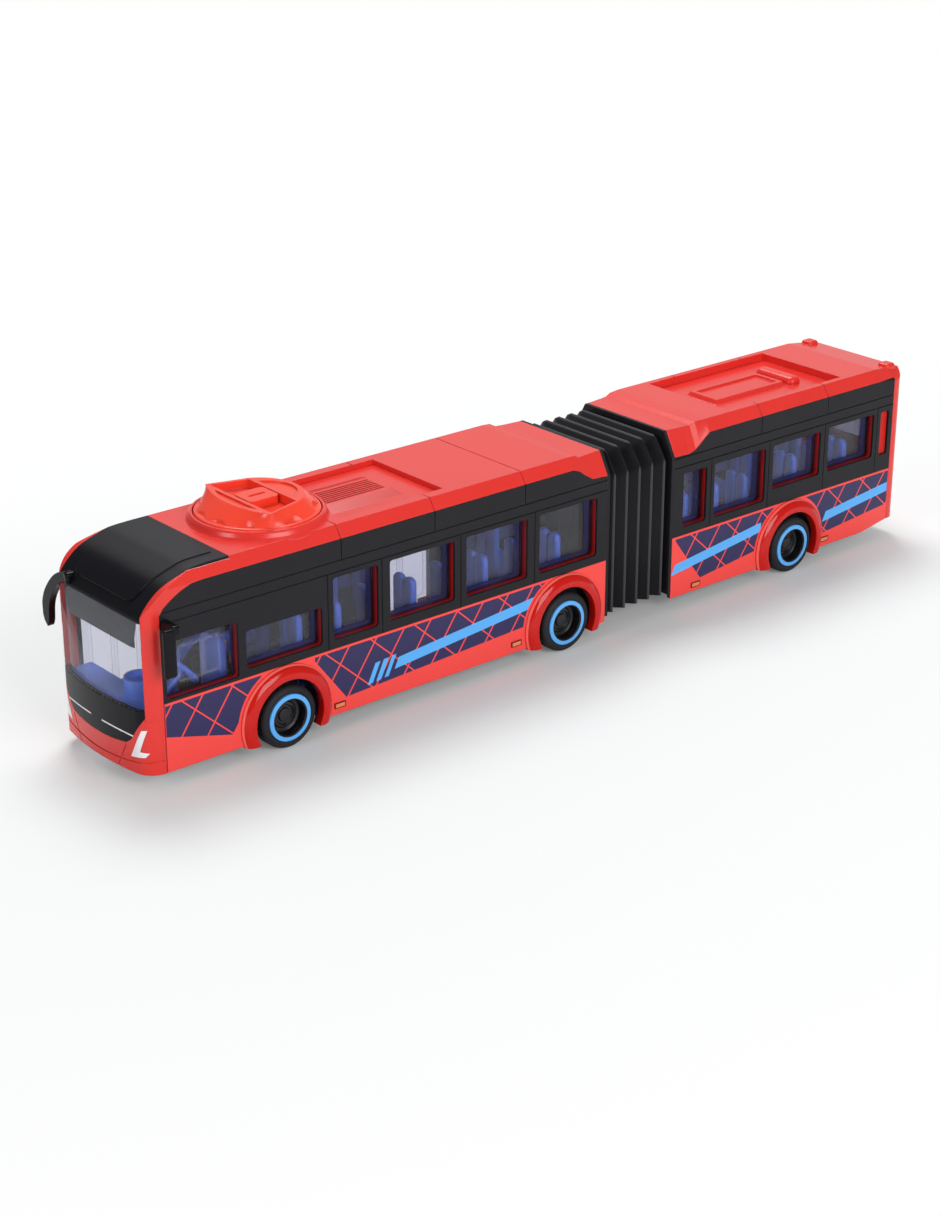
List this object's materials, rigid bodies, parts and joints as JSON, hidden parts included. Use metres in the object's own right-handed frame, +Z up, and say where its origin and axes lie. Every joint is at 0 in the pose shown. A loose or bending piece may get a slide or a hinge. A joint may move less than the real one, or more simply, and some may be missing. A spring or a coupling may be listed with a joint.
{
  "type": "toy articulated city bus",
  "caption": "Red and black toy articulated city bus with a pleated bellows joint, roof steering dial, opening doors and blue seats",
  "frame": {"origin": "centre of the bounding box at floor level", "axes": "+X forward, +Y the bus's left, +Z up"},
  "size_m": [0.4, 0.074, 0.088],
  "materials": {
    "red_plastic": "smooth moulded red plastic",
    "black_plastic": "satin black plastic",
    "black_matte": "matt black plastic",
    "bellows_rubber": "soft black pleated rubber",
    "clear_plastic": "clear plastic with a smoky tint",
    "blue_plastic": "moulded blue plastic",
    "tyre": "fine tread black rubber",
    "rim_plastic": "black hub with a light blue ring",
    "white_lamp": "white lamp panel",
    "amber_lamp": "amber lamp",
    "red_lamp": "dark red lamp",
    "steel": "drawn steel pin"
  },
  "bodies": {
    "front_car": {"front_roof": "red_plastic", "front_side_left": "black_plastic", "front_side_right": "black_plastic", "front_skirt_left": "red_plastic", "front_skirt_right": "red_plastic", "front_fascia": "red_plastic", "a_pillars": "red_plastic", "grille_panel": "black_plastic", "headlamps": "white_lamp", "forehead": "black_plastic", "windscreen": "clear_plastic", "mirror_left": "black_plastic", "mirror_right": "black_plastic", "front_glazing": "clear_plastic", "front_seats": "blue_plastic", "driver_cab": "blue_plastic", "front_lining": "blue_plastic", "front_chassis": "black_matte", "front_tongue": "black_matte", "front_end_frame": "black_matte", "front_markers": "amber_lamp", "bellows": "bellows_rubber"},
    "rear_car": {"rear_roof": "red_plastic", "rear_side_left": "black_plastic", "rear_side_right": "black_plastic", "rear_skirt_left": "red_plastic", "rear_skirt_right": "red_plastic", "rear_panel": "red_plastic", "rear_window": "clear_plastic", "tail_lamps": "red_lamp", "rear_glazing": "clear_plastic", "rear_seats": "blue_plastic", "rear_lining": "blue_plastic", "rear_chassis": "black_matte", "rear_tongue": "black_matte", "rear_end_frame": "black_matte", "rear_markers": "amber_lamp"},
    "steering_dial": {"steering_dial": "red_plastic"},
    "tie_rod": {"tie_rod": "black_matte"},
    "knuckle_left": {"knuckle_left": "black_matte"},
    "knuckle_right": {"knuckle_right": "black_matte"},
    "front_wheel_left": {"front_tyre_left": "tyre", "front_rim_left": "rim_plastic"},
    "front_wheel_right": {"front_tyre_right": "tyre", "front_rim_right": "rim_plastic"},
    "middle_wheels": {"middle_axle": "steel", "middle_tyre_left": "tyre", "middle_tyre_right": "tyre", "middle_rim_left": "rim_plastic", "middle_rim_right": "rim_plastic"},
    "rear_wheels": {"rear_axle": "steel", "rear_tyre_left": "tyre", "rear_tyre_right": "tyre", "rear_rim_left": "rim_plastic", "rear_rim_right": "rim_plastic"},
    "front_door": {"front_door": "clear_plastic"},
    "centre_door": {"centre_door": "clear_plastic"},
    "rear_door": {"rear_door": "clear_plastic"}
  },
  "joints": [
    {"name": "steering", "type": "hinge", "parent": "front_car", "child": "steering_dial", "pos_m": [0.127, 0, 0.081], "axis": [0, 0, 1], "range_deg": [-15, 15]},
    {"name": "tie_rod_slide", "type": "slide", "parent": "front_car", "child": "tie_rod", "axis": [0, 1, 0], "range_m": [-0.0029, 0.0029]},
    {"name": "knuckle_left_turn", "type": "hinge", "parent": "front_car", "child": "knuckle_left", "pos_m": [0.1375, 0.0205, 0.0123], "axis": [0, 0, 1], "range_deg": [-15, 15]},
    {"name": "knuckle_right_turn", "type": "hinge", "parent": "front_car", "child": "knuckle_right", "pos_m": [0.1375, -0.0205, 0.0123], "axis": [0, 0, 1], "range_deg": [-15, 15]},
    {"name": "front_left_spin", "type": "hinge", "parent": "knuckle_left", "child": "front_wheel_left", "pos_m": [0.1375, 0.0277, 0.0123], "axis": [0, 1, 0], "continuous": true},
    {"name": "front_right_spin", "type": "hinge", "parent": "knuckle_right", "child": "front_wheel_right", "pos_m": [0.1375, -0.0277, 0.0123], "axis": [0, 1, 0], "continuous": true},
    {"name": "middle_spin", "type": "hinge", "parent": "front_car", "child": "middle_wheels", "pos_m": [0.0013, 0, 0.0123], "axis": [0, 1, 0], "continuous": true},
    {"name": "articulation", "type": "hinge", "parent": "front_car", "child": "rear_car", "pos_m": [-0.041, 0, 0.0104], "axis": [0, 0, 1], "range_deg": [-30, 30], "deforming": ["bellows"]},
    {"name": "rear_spin", "type": "hinge", "parent": "rear_car", "child": "rear_wheels", "pos_m": [-0.1298, 0, 0.0123], "axis": [0, 1, 0], "continuous": true},
    {"name": "front_door_hinge", "type": "hinge", "parent": "front_car", "child": "front_door", "pos_m": [0.1863, -0.0278, 0.035], "axis": [0, 0, 1], "range_deg": [0, 80]},
    {"name": "centre_door_hinge", "type": "hinge", "parent": "front_car", "child": "centre_door", "pos_m": [0.054, -0.0278, 0.035], "axis": [0, 0, 1], "range_deg": [0, 80]},
    {"name": "rear_door_hinge", "type": "hinge", "parent": "rear_car", "child": "rear_door", "pos_m": [-0.0815, -0.0278, 0.035], "axis": [0, 0, 1], "range_deg": [0, 80]}
  ],
  "couplings": [
    {"joint": "tie_rod_slide", "follows": "steering", "m_per_rad": -0.0105},
    {"joint": "knuckle_left_turn", "follows": "steering", "ratio": 1},
    {"joint": "knuckle_right_turn", "follows": "steering", "ratio": 1}
  ]
}
